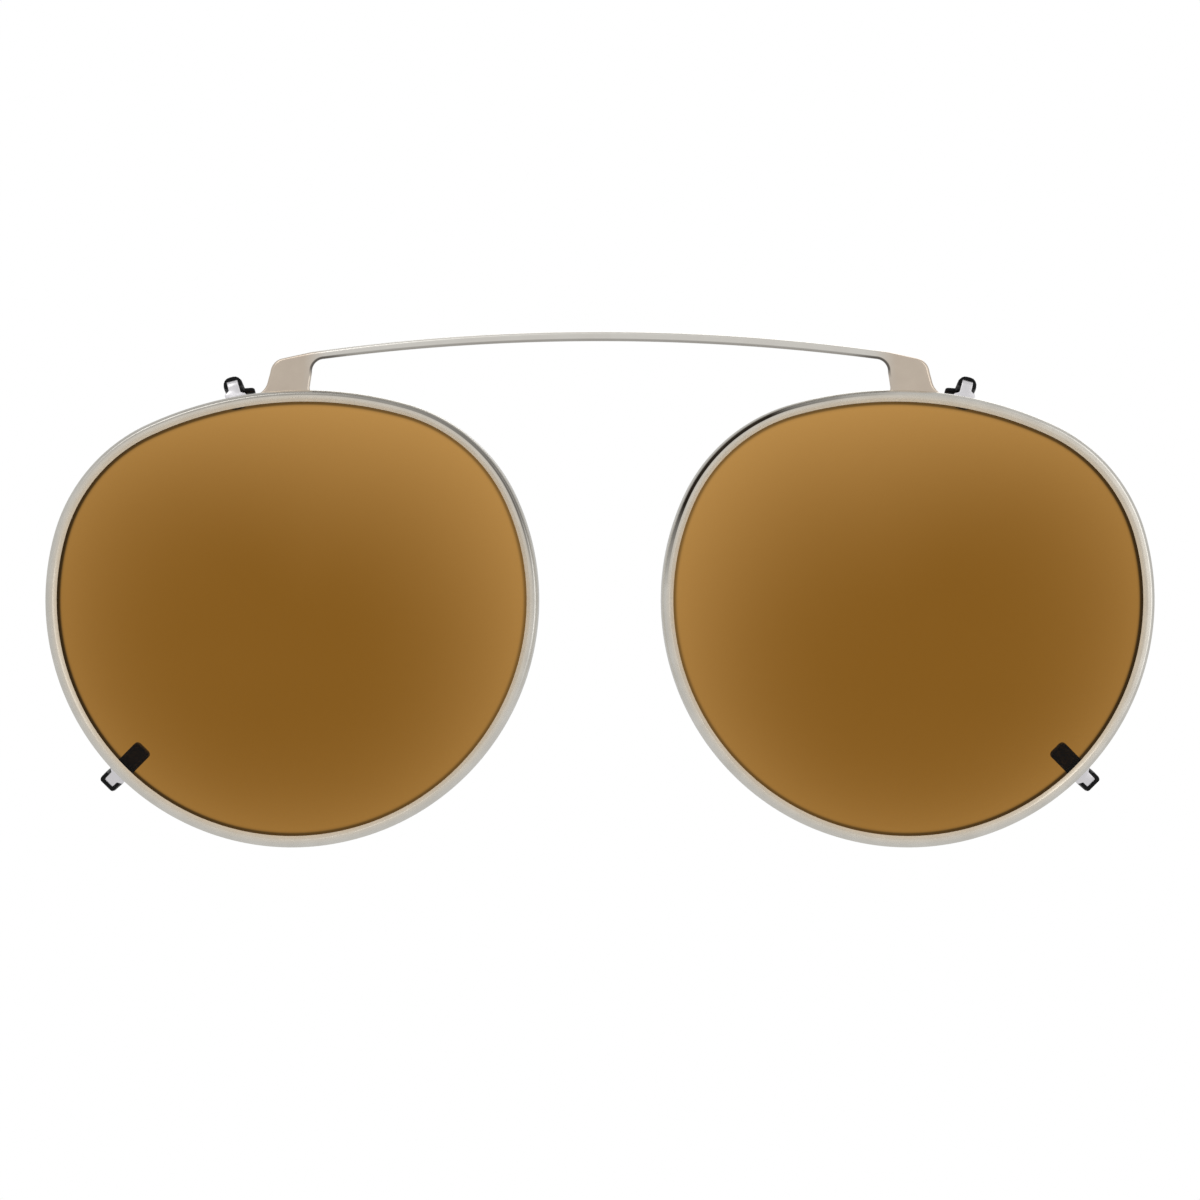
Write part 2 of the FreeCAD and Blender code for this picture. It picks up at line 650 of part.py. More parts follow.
def hook_placement(sizes, angle):
    """Where a left hook sits: Y runs backwards and Z outwards, square to the rim's rear face.

    It is then turned about its own Z until its X, along the rim, is square to the row frame's Y, so that
    the hook runs straight back although the rim is wrapped.
    """
    centre = sizes["curve_radius"].value
    rear = centre - sizes["lens_thick"].value - sizes["rim_rear"].value
    tilt = math.degrees(math.asin(wall_distance(sizes, angle) / rear))
    outward = FreeCAD.Rotation(FreeCAD.Vector(0, 1, 0), 90 - angle)
    tip_back = FreeCAD.Rotation(FreeCAD.Vector(1, 0, 0), -tilt)
    turn = FreeCAD.Placement(FreeCAD.Vector(0, centre, 0), outward * tip_back)
    drop = FreeCAD.Placement(FreeCAD.Vector(0, -rear, 0), FreeCAD.Rotation())
    square = half_placement(sizes) * turn * drop
    along = square.Rotation.multVec(FreeCAD.Vector(1, 0, 0))
    back = square.Rotation.multVec(FreeCAD.Vector(0, 1, 0))
    straighten = FreeCAD.Rotation(FreeCAD.Vector(0, 0, 1), math.degrees(math.atan2(-along.y, back.y)))
    return square * FreeCAD.Placement(FreeCAD.Vector(), straighten)


def left_hooks(doc, sizes):
    """The left half's two hooks with their sleeves."""
    pieces = []
    for level in ("top", "bottom"):
        name = "left_" + level
        placement = hook_placement(sizes, sizes[level + "_angle"].value)
        rise = sizes[level + "_rise"]
        lip = sizes[level + "_lip"]
        rounding = sizes[level + "_round"]
        pieces.append(hook_strip(doc, name + "_claw", sizes, rise, lip, placement))
        with_toe = level == "top"
        pieces.append(soft_sleeve(doc, name + "_sleeve", sizes, rise, lip, rounding, with_toe, placement))
    return pieces


def main():
    doc = FreeCAD.newDocument("clip_on_lenses")
    sizes = make_sheet(doc)
    rim = left_rim(doc, sizes)
    lens = left_lens(doc, sizes)
    left_pieces = [rim, lens] + left_hooks(doc, sizes)
    right_pieces = [mirrored(doc, piece.Label.replace("left", "right"), piece) for piece in left_pieces]
    pieces = left_pieces + right_pieces + [bridge(doc, sizes)]
    doc.recompute()
    check(doc, pieces)
    export(pieces)


def check(doc, pieces):
    """Stop if any object failed to build or any piece isn't a good solid."""
    for item in doc.Objects:
        bad = [state for state in item.State if state in ("Invalid", "Error")]
        if bad:
            raise RuntimeError("%s: %s" % (item.Name, bad))
    for piece in pieces:
        shape = piece.Shape
        if shape.isNull() or not shape.isValid() or shape.Volume <= 0:
            raise RuntimeError(piece.Label + " has a bad shape")


def export(pieces):
    os.makedirs("parts", exist_ok=True)
    for piece in pieces:
        piece.Shape.exportStep("parts/%s.step" % piece.Label)
        box = piece.Shape.BoundBox
        print("%-20s %9.2f mm3  X %7.2f %7.2f  Y %6.2f %6.2f  Z %7.2f %7.2f" % (
            piece.Label, piece.Shape.Volume, box.XMin, box.XMax, box.YMin, box.YMax, box.ZMin, box.ZMax))


main()
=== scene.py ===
import math

import bmesh
import bpy
from mathutils import Matrix, Vector


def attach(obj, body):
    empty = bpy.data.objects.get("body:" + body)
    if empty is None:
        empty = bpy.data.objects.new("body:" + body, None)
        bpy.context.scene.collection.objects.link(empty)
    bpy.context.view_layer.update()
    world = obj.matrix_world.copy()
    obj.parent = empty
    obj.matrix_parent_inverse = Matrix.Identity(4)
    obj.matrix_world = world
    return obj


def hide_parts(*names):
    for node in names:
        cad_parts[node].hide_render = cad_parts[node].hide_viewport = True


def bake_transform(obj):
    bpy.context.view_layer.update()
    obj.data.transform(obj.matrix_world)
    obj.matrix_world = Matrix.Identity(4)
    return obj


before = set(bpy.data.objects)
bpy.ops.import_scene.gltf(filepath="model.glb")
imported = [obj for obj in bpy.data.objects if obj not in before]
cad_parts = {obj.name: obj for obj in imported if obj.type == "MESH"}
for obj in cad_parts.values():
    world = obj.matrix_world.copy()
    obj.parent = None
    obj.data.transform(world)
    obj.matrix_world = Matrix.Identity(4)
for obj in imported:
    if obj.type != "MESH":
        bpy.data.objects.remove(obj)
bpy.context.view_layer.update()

# Clip-on sun lenses, drawn as finished meshes in the CAD frame. Lengths below are in millimetres, and
# MM turns them into metres as each mesh is made. Each half is drawn in its eye frame: the lens axis is Y
# and the origin is the centre of the outline's bottom arc on the lens's front face.

MM = 0.001

# the opening's outline: four tangent arcs
BOTTOM_RADIUS = 24.75
CORNER_RADIUS = 16.6
TOP_RADIUS = 39.0
SIDE_ANGLE = math.radians(20.0)

# where the left eye frame sits
EYE_ACROSS = 32.5
EYE_DEPTH = 3.7
EYE_UP = 1.0
LEAN = math.radians(4.5)
WRAP = math.radians(4.0)

# lens and rim sections: offsets outwards from the opening, depths backwards from the lens's front face
CURVE_RADIUS = 150.0
LENS_THICK = 1.1
LENS_BITE = 0.28
EDGE_SETBACK = 0.1
EDGE_SHOULDER = 0.18
RIM_WIDTH = 1.2
RIM_FRONT = 0.55
RIM_REAR = 0.35
GROOVE_DEEP = 0.36
FIT_GAP = 0.03
FRONT_BEVEL = 0.42
OUTER_BEVEL = 0.28

# bar and risers
BAR_TOP = 29.1
BAR_DROP = 2.11
BAR_TALL = 0.98
BAR_THIN = 0.82
BAR_DEEP = 1.2
BAR_BOW = 1.15
RISER_INNER = 30.2
RISER_SLANT = 0.6
RISER_WIDTH = 4.35
RISER_ROOT = 21.75
RISER_SLOPE = 1.0
SHOULDER_ROUND = 1.1
SHOULDER_LIFT = 0.3
SHOULDER_ARC = 1.6
RISER_THROAT = 1.3
THROAT_LIFT = 0.11
THROAT_ARC = 1.33
RISER_SPREAD = 0.25
RISER_FLARE = 1.5
FLARE_ARC = 1.9
FLARE_TOP = 24.0
FOOT_LEVEL = 21.0
FOOT_SINK = 0.12
FILLET_TALL = 0.4
FILLET_WIDE = 0.12

# hooks
STRIP_WIDTH = 1.15
STRIP_THICK = 0.4
STRIP_BEND = 0.5
HOOK_GAP = 0.14
HOOK_FOOT = 0.81
HOOK_REACH = 4.35
FOOT_WIDTH = 2.2
FAR_NARROWS = 0.49
NEAR_NARROWS = 0.09
FOOT_TAPER = 0.4
SLEEVE_WIDTH = 2.05
SLEEVE_OUTER = 0.42
SLEEVE_TIP = 0.35
SLEEVE_START = 0.1
SLEEVE_ROUND = 0.18
MOUTH_SCALE = 0.93
TIP_SHARE = 0.34
TIP_NARROWS = 0.42
RISES = {"top": 1.74, "bottom": 1.49}
LIPS = {"top": 0.05, "bottom": 2.41}
ANGLES = {"top": math.radians(101.1), "bottom": math.radians(220.1)}
BACK_ROUNDS = {"top": 0.8, "bottom": 0.3}
TOE_REACH = 2.0
TOE_TALL = 0.6
TOE_ROOT = 1.42
TOE_TIP = 1.02
TOE_CORNER = 0.25
TOE_ROUND = 0.3
TOE_RINGS = ((0.3, 0.9), (0.8, 1.0))

SPREAD = BOTTOM_RADIUS - CORNER_RADIUS
CORNER_ACROSS = SPREAD * math.cos(SIDE_ANGLE)
CORNER_UP = SPREAD * math.sin(SIDE_ANGLE)
CROWN_ANGLE = math.asin(CORNER_ACROSS / (TOP_RADIUS - CORNER_RADIUS))
TOP_CENTRE = CORNER_UP - (TOP_RADIUS - CORNER_RADIUS) * math.cos(CROWN_ANGLE)
SQUARE = math.pi / 2
TINY = 1e-9

# arcs of the outline: first and last direction of the outward normal, centre and radius
ARCS = [
    (SIDE_ANGLE, SQUARE - CROWN_ANGLE, (CORNER_ACROSS, CORNER_UP), CORNER_RADIUS),
    (SQUARE - CROWN_ANGLE, SQUARE + CROWN_ANGLE, (0.0, TOP_CENTRE), TOP_RADIUS),
    (SQUARE + CROWN_ANGLE, math.pi - SIDE_ANGLE, (-CORNER_ACROSS, CORNER_UP), CORNER_RADIUS),
    (math.pi - SIDE_ANGLE, 2 * math.pi + SIDE_ANGLE, (0.0, 0.0), BOTTOM_RADIUS),
]


def outline(step, offset):
    """The opening's outline grown by offset; step is (arc, direction) from outline_steps."""
    (across, up), radius = ARCS[step[0]][2:]
    return (across + (radius + offset) * math.cos(step[1]), up + (radius + offset) * math.sin(step[1]))


def outline_steps(count):
    """About count evenly spaced places round the outline."""
    length = sum((last - first) * radius for first, last, _, radius in ARCS)
    steps = []
    for number, (first, last, _, radius) in enumerate(ARCS):
        parts = max(2, round(count * (last - first) * radius / length))
        steps += [(number, first + (last - first) * k / parts) for k in range(parts)]
    return steps


def sphere_depth(across, up, depth):
    """Y in the eye frame of the sphere that lies depth behind the lens's front face."""
    return CURVE_RADIUS - math.sqrt((CURVE_RADIUS - depth) ** 2 - across ** 2 - up ** 2)


def clamp(value):
    return min(1.0, max(0.0, value))


def mirror(side):
    """The right half is the left half mirrored in X."""
    return Matrix.Scale(-1, 4, Vector((1, 0, 0))) if side == "right" else Matrix.Identity(4)


def eye_frame():
    """Eye frame to row frame for the left half, still in millimetres."""
    place = Matrix.Translation(Vector((-EYE_ACROSS, -EYE_DEPTH, EYE_UP)))
    return place @ Matrix.Rotation(-WRAP, 4, "Z") @ Matrix.Rotation(-LEAN, 4, "Y")


def wall_distance(angle):
    """How far the rim's outer wall lies from the eye frame's Y axis, at a polar angle."""
    if angle > math.pi - SIDE_ANGLE:
        return BOTTOM_RADIUS + RIM_WIDTH
    radius = TOP_RADIUS + RIM_WIDTH
    return TOP_CENTRE * math.sin(angle) + math.sqrt(radius ** 2 - (TOP_CENTRE * math.cos(angle)) ** 2)


def hook_frame(place):
    """Hook frame to row frame for the left half: X along the rim and square to the row's Y, Z outwards."""
    rear = CURVE_RADIUS - LENS_THICK - RIM_REAR
    tilt = math.asin(wall_distance(ANGLES[place]) / rear)
    turn = Matrix.Rotation(SQUARE - ANGLES[place], 4, "Y") @ Matrix.Rotation(-tilt, 4, "X")
    centre = Matrix.Translation(Vector((0, CURVE_RADIUS, 0)))
    square = eye_frame() @ centre @ turn @ Matrix.Translation(Vector((0, -rear, 0)))
    along, back = square.col[0], square.col[1]
    return square @ Matrix.Rotation(math.atan2(-along.y, back.y), 4, "Z")


# ---------------------------------------------------------------- mesh making

def make_object(name, points, faces, transform, sharp=math.radians(38)):
    """A smooth-shaded mesh whose creases over the sharp angle stay crisp."""
    mesh = bpy.data.meshes.new(name)
    scaled = Matrix.Scale(MM, 4) @ transform
    mesh.from_pydata([scaled @ Vector(point) for point in points], [], faces)
    work = bmesh.new()
    work.from_mesh(mesh)
    bmesh.ops.recalc_face_normals(work, faces=work.faces)
    for face in work.faces:
        face.smooth = True
    for edge in work.edges:
        edge.smooth = len(edge.link_faces) != 2 or edge.calc_face_angle(0) < sharp
    work.to_mesh(mesh)
    work.free()
    piece = bpy.data.objects.new(name, mesh)
    bpy.context.scene.collection.objects.link(piece)
    return piece


def add_values(piece, name, values):
    """Store one number for each of the mesh's points, for a material to read."""
    piece.data.attributes.new(name, "FLOAT", "POINT").data.foreach_set("value", values)


def rounded(corners, steps=4):
    """A closed 2-D outline whose corners (x, y, radius) are rounded by arcs."""
    points = []
    count = len(corners)
    for number, (x, y, radius) in enumerate(corners):
        here = Vector((x, y))
        before = Vector(corners[number - 1][:2]) - here
        after = Vector(corners[(number + 1) % count][:2]) - here
        if radius <= 0:
            points.append((x, y))
            continue
        half = before.angle(after) / 2
        reach = radius / math.tan(half)
        middle = (before.normalized() + after.normalized()).normalized() * (radius / math.sin(half))
        first = before.normalized() * reach - middle
        last = after.normalized() * reach - middle
        turn = first.angle_signed(last)
        for k in range(steps + 1):
            spoke = first.copy()
            spoke.rotate(Matrix.Rotation(-turn * k / steps, 2))
            points.append(tuple(here + middle + spoke))
    return points


def rings_to_faces(rings, size, closed):
    """Quads between neighbouring rings of size points each; closed joins the last ring to the first."""
    faces = []
    pairs = rings if closed else rings - 1
    for ring in range(pairs):
        after = (ring + 1) % rings
        for k in range(size):
            nxt = (k + 1) % size
            faces.append((ring * size + k, ring * size + nxt, after * size + nxt, after * size + k))
    return faces


def end_caps(size, count, first=0):
    """Faces that close the first and the last ring of count points numbered from first."""
    return [tuple(range(first, first + size)), tuple(range(first + count - size, first + count))]


# ---------------------------------------------------------------- rims and lenses

# a painted dark reflection near the rim's outer front edge, at the upper nose side:
# the offsets between which it lies, and the points on the front's flat that carry it
DARK_FROM = 0.7
DARK_TO = 1.02
FLAT_POINTS = (0.54, 0.66, 0.72, 0.78)
# its strength, first and last direction at full strength, and the angles over which it fades before and after
DARK_REFLECTIONS = {"left": (0.72, 16.0, 34.0, 18.0, 110.0), "right": (1.0, 18.0, 62.0, 20.0, 26.0)}
# the painted warm reflection where the flat begins, and the share of the bevel that has it in full
REFLECTION_AT_FLAT = 0.45
REFLECTION_SHARE = 0.93


def reflection_darkness(side, offset, depth, direction):
    """How strongly the painted dark reflection darkens the rim's front at a point, 0 to 1."""
    strength, first, last, fade_in, fade_out = DARK_REFLECTIONS[side]
    if depth > 0 or not DARK_FROM < offset < DARK_TO:
        return 0.0
    degrees = math.degrees(math.remainder(direction, 2 * math.pi))
    return strength * clamp(min((degrees - first) / fade_in, (last - degrees) / fade_out) + 1.0)


def painted_bevel_reflection(offset, depth):
    """Painted warm reflection of the amber lens on the front metal: full on the inner bevel, fading across
    the flat.
    """
    if depth >= 0:
        return 0.0
    if offset < FRONT_BEVEL * REFLECTION_SHARE:
        return 1.0
    flat = RIM_WIDTH - OUTER_BEVEL - FRONT_BEVEL
    return max(0.0, REFLECTION_AT_FLAT * (1 - (offset - FRONT_BEVEL) / flat))


def rim_section():
    """The rim's cross-section as (offset, depth): bevelled front, round rear, and the groove inside.

    The third number of each corner is the radius that rounds it.
    """
    rear = LENS_THICK + RIM_REAR
    groove_front, groove_rear = -FIT_GAP, LENS_THICK + FIT_GAP
    return rounded([
        (0.0, groove_front, 0.02),
        (0.0, -RIM_FRONT + FRONT_BEVEL, 0.03),
        (FRONT_BEVEL, -RIM_FRONT, 0.05),
        *[(offset, -RIM_FRONT, 0.0) for offset in FLAT_POINTS],
        (RIM_WIDTH - OUTER_BEVEL, -RIM_FRONT, 0.22),
        (RIM_WIDTH, -RIM_FRONT + OUTER_BEVEL, 0.22),
        (RIM_WIDTH, rear, 0.2),
        (0.0, rear, 0.16),
        (0.0, groove_rear, 0.02),
        (GROOVE_DEEP, groove_rear, 0.03),
        (GROOVE_DEEP, groove_front, 0.03),
    ])


RIM_STEPS = 240


def make_rim(side):
    """The section above carried once round the outline, with its painted bevel reflection and painted dark
    reflection as attributes.
    """
    section = rim_section()
    steps = outline_steps(RIM_STEPS)
    points = []
    for step in steps:
        for offset, depth in section:
            across, up = outline(step, offset)
            points.append((across, sphere_depth(across, up, depth), up))
    faces = rings_to_faces(len(steps), len(section), True)
    rim = make_object(side + "_rim_ring", points, faces, mirror(side) @ eye_frame())
    bevel_reflections = [painted_bevel_reflection(offset, depth) for _ in steps for offset, depth in section]
    dark = [reflection_darkness(side, offset, depth, step[1]) for step in steps for offset, depth in section]
    add_values(rim, "painted_bevel_reflection", bevel_reflections)
    add_values(rim, "painted_dark_reflection", dark)
    return rim


# rings of the lens from its edge inwards, as offsets from the opening
EDGE_RINGS = (-0.04, -0.1, -0.17, -0.24, -0.32, -0.42, -0.6, -0.9, -1.3)
INNER_RINGS = 26
LENS_STEPS = 160
# the painted shadow line at the lens's edge: its width and fade, its strength all round and towards one
# direction
LINE_WIDTH = 0.24
LINE_FADE = 0.22
LINE_ROUND = 0.80
LINE_TOWARDS = 0.20
LINE_DIRECTION = math.radians(185.0)
# the paler tint: how late it rises, and its level all round, towards one direction and across it
FADE_LATE = 3.4
FADE_SOONER = 1.5
FADE_ROUND = 0.62
FADE_TOWARDS = 0.28
FADE_ACROSS = 0.08
FADE_DIRECTION = math.radians(62.0)


def lens_fade(across, up, reach):
    """How pale the tint is: 0 at the middle, rising to the edge, soonest and most at the upper nose side."""
    direction = math.atan2(up, across) - FADE_DIRECTION
    towards = math.cos(direction)
    level = FADE_ROUND + FADE_TOWARDS * towards + FADE_ACROSS * math.cos(2 * direction)
    return min(1.0, reach) ** (FADE_LATE - FADE_SOONER * towards) * level


def line_strength(offset, direction):
    """How dark the lens's edge is: a shadowed line, strongest at the lower temple side."""
    depth = clamp(1 - (-offset - LINE_WIDTH) / LINE_FADE)
    return depth * (LINE_ROUND + LINE_TOWARDS * math.cos(direction - LINE_DIRECTION))


def make_lens(side):
    """A curved lens with a V-ground edge, carrying its tint's fade and its painted edge shadow as attributes.
    """
    steps = outline_steps(LENS_STEPS)
    middle_up = (TOP_CENTRE + TOP_RADIUS - BOTTOM_RADIUS) / 2
    shoulder = LENS_BITE - EDGE_SETBACK
    edge = [(shoulder, LENS_THICK - EDGE_SHOULDER, 1.0), (LENS_BITE, LENS_THICK * 0.5, 1.0),
            (shoulder, EDGE_SHOULDER, 1.0)]
    front = [(offset, 0.0, 1.0) for offset in EDGE_RINGS]
    front += [(EDGE_RINGS[-1], 0.0, 1 - k / INNER_RINGS) for k in range(1, INNER_RINGS)]
    rear = [(offset, LENS_THICK, scale) for offset, _, scale in front]
    loops = list(reversed(rear)) + edge + front
    points, fades, lines = [], [], []
    for offset, depth, scale in loops:
        for step in steps:
            across, up = outline(step, offset)
            across, up = across * scale, middle_up + (up - middle_up) * scale
            points.append((across, sphere_depth(across, up, depth), up))
            reach = scale * (1 + offset / BOTTOM_RADIUS)
            fades.append(lens_fade(across, up - middle_up, reach))
            lines.append(line_strength(offset, step[1]) if scale == 1.0 else 0.0)
    faces = rings_to_faces(len(loops), len(steps), False)
    size = len(steps)
    for ring, depth in ((0, LENS_THICK), (len(loops) - 1, 0.0)):
        points.append((0.0, sphere_depth(0.0, middle_up, depth), middle_up))
        fades.append(0.0)
        lines.append(0.0)
        hub = len(points) - 1
        faces += [(ring * size + k, ring * size + (k + 1) % size, hub) for k in range(size)]
    lens = make_object(side + "_lens_disc", points, faces, mirror(side) @ eye_frame(), math.radians(30))
    add_values(lens, "tint_fade", fades)
    add_values(lens, "edge_shadow", lines)
    return lens


# ---------------------------------------------------------------- the bar and its risers

def circle_drop(span, drop, x):
    """How far an arc of that span and drop has fallen at x from its top."""
    radius = (span ** 2 + drop ** 2) / (2 * drop)
    return radius - math.sqrt(radius ** 2 - x ** 2)


def arc_through(first, last, radius, turn, count):
    """Points along the short arc from first to last; turn is +1 for anticlockwise and -1 for clockwise."""
    first, last = Vector(first), Vector(last)
    chord = last - first
    left = Vector((-chord.y, chord.x)).normalized()
    centre = (first + last) / 2 + left * turn * math.sqrt(radius ** 2 - (chord.length / 2) ** 2)
    spoke = first - centre
    angle = 2 * math.asin(chord.length / 2 / radius) * turn
    return [tuple(centre + Matrix.Rotation(angle * k / count, 2) @ spoke) for k in range(count + 1)]


def resample(points, count):
    """The same line with count + 1 evenly spaced points."""
    lengths = [0.0]
    for before, after in zip(points, points[1:]):
        lengths.append(lengths[-1] + math.dist(before, after))
    result, piece = [], 0
    for k in range(count + 1):
        target = lengths[-1] * k / count
        while piece < len(points) - 2 and lengths[piece + 1] < target:
            piece += 1
        share = (target - lengths[piece]) / max(lengths[piece + 1] - lengths[piece], TINY)
        before, after = Vector(points[piece]), Vector(points[piece + 1])
        result.append(tuple(before.lerp(after, min(1.0, share))))
    return result


TOP_LINE_STEPS = 720


def rim_top_line():
    """The top of the right rim's outer wall in the front view, as (x, z) points."""
    place = mirror("right") @ eye_frame()
    line = []
    for step in outline_steps(TOP_LINE_STEPS):
        across, up = outline(step, RIM_WIDTH - FOOT_SINK)
        if up > BOTTOM_RADIUS * 0.5:
            point = place @ Vector((across, sphere_depth(across, up, LENS_THICK / 2), up))
            line.append((point.x, point.z))
    return sorted(line)


def height_on(line, x):
    """Height at x of a line of (x, z) points."""
    for before, after in zip(line, line[1:]):
        if before[0] <= x <= after[0]:
            share = (x - before[0]) / max(after[0] - before[0], TINY)
            return before[1] + (after[1] - before[1]) * share
    return line[0][1]


SHOULDER_STEPS = 10
ARC_STEPS = 12


def riser_edges(rim_line):
    """The riser's outer and inner edges, both walked from the bar down to the rim."""
    outer = RISER_INNER + RISER_WIDTH
    bar_end = BAR_TOP - BAR_DROP
    bar_x = RISER_INNER - RISER_THROAT
    shoulder = bar_end - RISER_SLOPE
    upper = [(bar_x, BAR_TOP - circle_drop(RISER_INNER, BAR_DROP, bar_x)), (RISER_INNER, bar_end)]
    upper += arc_through((outer - SHOULDER_ROUND, shoulder + SHOULDER_LIFT),
                         (outer, shoulder - SHOULDER_ROUND), SHOULDER_ARC, -1, SHOULDER_STEPS)
    foot_x = outer + RISER_FLARE
    upper += arc_through((outer + RISER_SPREAD, FLARE_TOP),
                         (foot_x, FLARE_TOP - RISER_FLARE), FLARE_ARC, 1, ARC_STEPS)
    upper[-1] = (foot_x, height_on(rim_line, foot_x))
    under = bar_end - BAR_THIN
    low = under - RISER_THROAT
    lower = arc_through((bar_x, under + THROAT_LIFT), (RISER_INNER, low), THROAT_ARC, -1, ARC_STEPS)
    ground = height_on(rim_line, RISER_INNER)
    slant = RISER_SLANT / (low - FOOT_LEVEL)
    lower.append((RISER_INNER + (low - ground - FILLET_TALL) * slant, ground + FILLET_TALL))
    lower.append((RISER_INNER + (low - ground) * slant - FILLET_WIDE, ground))
    return upper, lower


BAR_STEPS = 34
RISER_STEPS = 30
BAR_ROUND = 0.3
BAR_ROUND_SHARE = 0.38
FACE_PARTS = 6


def bar_spans():
    """Pairs of points across the bar, from its middle out along the right side, and the rim's top line."""
    rim_line = rim_top_line()
    upper, lower = riser_edges(rim_line)
    under_drop = BAR_TOP - BAR_TALL - lower[0][1]
    spans = []
    for k in range(BAR_STEPS):
        x = lower[0][0] * k / BAR_STEPS
        top = BAR_TOP - circle_drop(RISER_INNER, BAR_DROP, x)
        low = BAR_TOP - BAR_TALL - circle_drop(lower[0][0], under_drop, x)
        spans.append(((x, low), (x, top)))
    spans += list(zip(resample(lower, RISER_STEPS), resample(upper, RISER_STEPS)))
    return spans, rim_line


def bar_bow(x):
    """Depth of the bar's middle plane at x."""
    radius = CURVE_RADIUS
    middle = radius - (LENS_THICK + RIM_REAR - RIM_FRONT) / 2
    riser = -EYE_DEPTH + radius - math.sqrt(middle ** 2 - RISER_ROOT ** 2)
    return riser - BAR_BOW + BAR_BOW * (x / EYE_ACROSS) ** 2


def bar_section(height):
    """The bar's rounded section as (share of height, depth), with extra points across its broad faces."""
    rounding = min(BAR_ROUND, height * BAR_ROUND_SHARE)
    half = height / 2
    deep = BAR_DEEP / 2
    points = rounded([(-half, -deep, rounding), (half, -deep, rounding),
                      (half, deep, rounding), (-half, deep, rounding)], 5)
    size = len(points) // 4
    filled = []
    for number, point in enumerate(points):
        filled.append(point)
        if number % size == size - 1:
            nxt = points[(number + 1) % len(points)]
            filled += [tuple(Vector(point).lerp(Vector(nxt), k / FACE_PARTS)) for k in range(1, FACE_PARTS)]
    return filled


# painted shade on the bar's lower front edge: its strength along the bar, and where it deepens towards the
# throat and ends above the foot
BAR_SHADE = 0.52
SHADE_EDGE = 0.9
SHADE_FROM = 26.0
SHADE_OVER = 2.5
SHADE_FOOT = 24.3
SHADE_FOOT_OVER = 0.9
# painted warm reflection on the risers: where along the bar it begins, and over what length it comes in
WARM_FROM = 28.6
WARM_OVER = 2.4


def throat_shade(x, z, along, depth, height):
    """Painted shade along the bar's lower front edge, most in the throat."""
    if depth > 0 or along > BAR_ROUND * SHADE_EDGE - height / 2:
        return 0.0
    beside_throat = clamp((abs(x) - SHADE_FROM) / SHADE_OVER)
    above_foot = clamp((z - SHADE_FOOT) / SHADE_FOOT_OVER)
    return (BAR_SHADE + (1 - BAR_SHADE) * beside_throat) * above_foot


def make_bridge():
    """Bar and risers as one swept piece whose feet follow the rims' outer walls."""
    spans, rim_line = bar_spans()
    rows = [((-a[0], a[1]), (-b[0], b[1])) for a, b in reversed(spans[1:])] + spans
    points, shades, warm_reflections = [], [], []
    for low, top in rows:
        low, top = Vector(low), Vector(top)
        height = (top - low).length
        section = bar_section(height)
        size = len(section)
        for along, depth in section:
            flat = low.lerp(top, along / height + 0.5)
            points.append([flat.x, bar_bow(flat.x) + depth, flat.y])
            shades.append(throat_shade(flat.x, flat.y, along, depth, height))
            warm_reflections.append(clamp((abs(flat.x) - WARM_FROM) / WARM_OVER))
    for end in (points[:size], points[-size:]):
        for point in end:
            point[2] = height_on(rim_line, abs(point[0]))
    faces = rings_to_faces(len(rows), size, False) + end_caps(size, len(points))
    bar = make_object("bridge_bar", points, faces, Matrix.Identity(4))
    add_values(bar, "throat_shade", shades)
    add_values(bar, "riser_warm_reflection", warm_reflections)
    return bar


# ---------------------------------------------------------------- hooks

LEG_STEPS = 16
STRAIGHT_STEPS = 6
BEND_STEPS = 8
TIP_STEPS = 5
STRIP_ROUND = 0.07
BORE_ROUND = 0.08


def hook_path(place, start, lip):
    """The strip's centre line as (depth, outward, direction), down to lip below the rim's edge.

    It begins at the foot and has two bends, or begins on the straight at depth start and has one.
    """
    front = HOOK_GAP + STRIP_THICK / 2
    rear = front + HOOK_REACH
    rise = RISES[place]
    low = rise - STRIP_BEND
    path = []
    if start is None:
        leg = low + HOOK_FOOT
        path += [(front, -HOOK_FOOT + leg * k / LEG_STEPS, SQUARE) for k in range(LEG_STEPS)]
        for k in range(BEND_STEPS + 1):
            turn = SQUARE * k / BEND_STEPS
            across, up = STRIP_BEND * (1 - math.cos(turn)), STRIP_BEND * math.sin(turn)
            path.append((front + across, low + up, SQUARE - turn))
        start = front + STRIP_BEND
    else:
        path.append((start, rise, 0.0))
    straight = rear - STRIP_BEND - start
    path += [(start + straight * k / STRAIGHT_STEPS, rise, 0.0) for k in range(1, STRAIGHT_STEPS)]
    for k in range(BEND_STEPS + 1):
        turn = SQUARE * k / BEND_STEPS
        path.append((rear - STRIP_BEND * (1 - math.sin(turn)), low + STRIP_BEND * math.cos(turn), -turn))
    drop = -lip - low
    path += [(rear, low + drop * k / STRAIGHT_STEPS, -SQUARE) for k in range(1, STRAIGHT_STEPS + 1)]
    return path


def sweep(path, section_at):
    """Rings of a flat section (across, outward) carried along a path in the hook's YZ plane."""
    points = []
    for number, (depth, outward, direction) in enumerate(path):
        for across, rise in section_at(number):
            points.append((across, depth - math.sin(direction) * rise, outward + math.cos(direction) * rise))
    return points


def box_section(width, thick, inner_round, outer_round, steps=4):
    """A flat section: the outer corners, on the far side from the throat, get their own round."""
    half, rise = width / 2, thick / 2
    return rounded([(-half, -rise, inner_round), (half, -rise, inner_round),
                    (half, rise, outer_round), (-half, rise, outer_round)], steps)


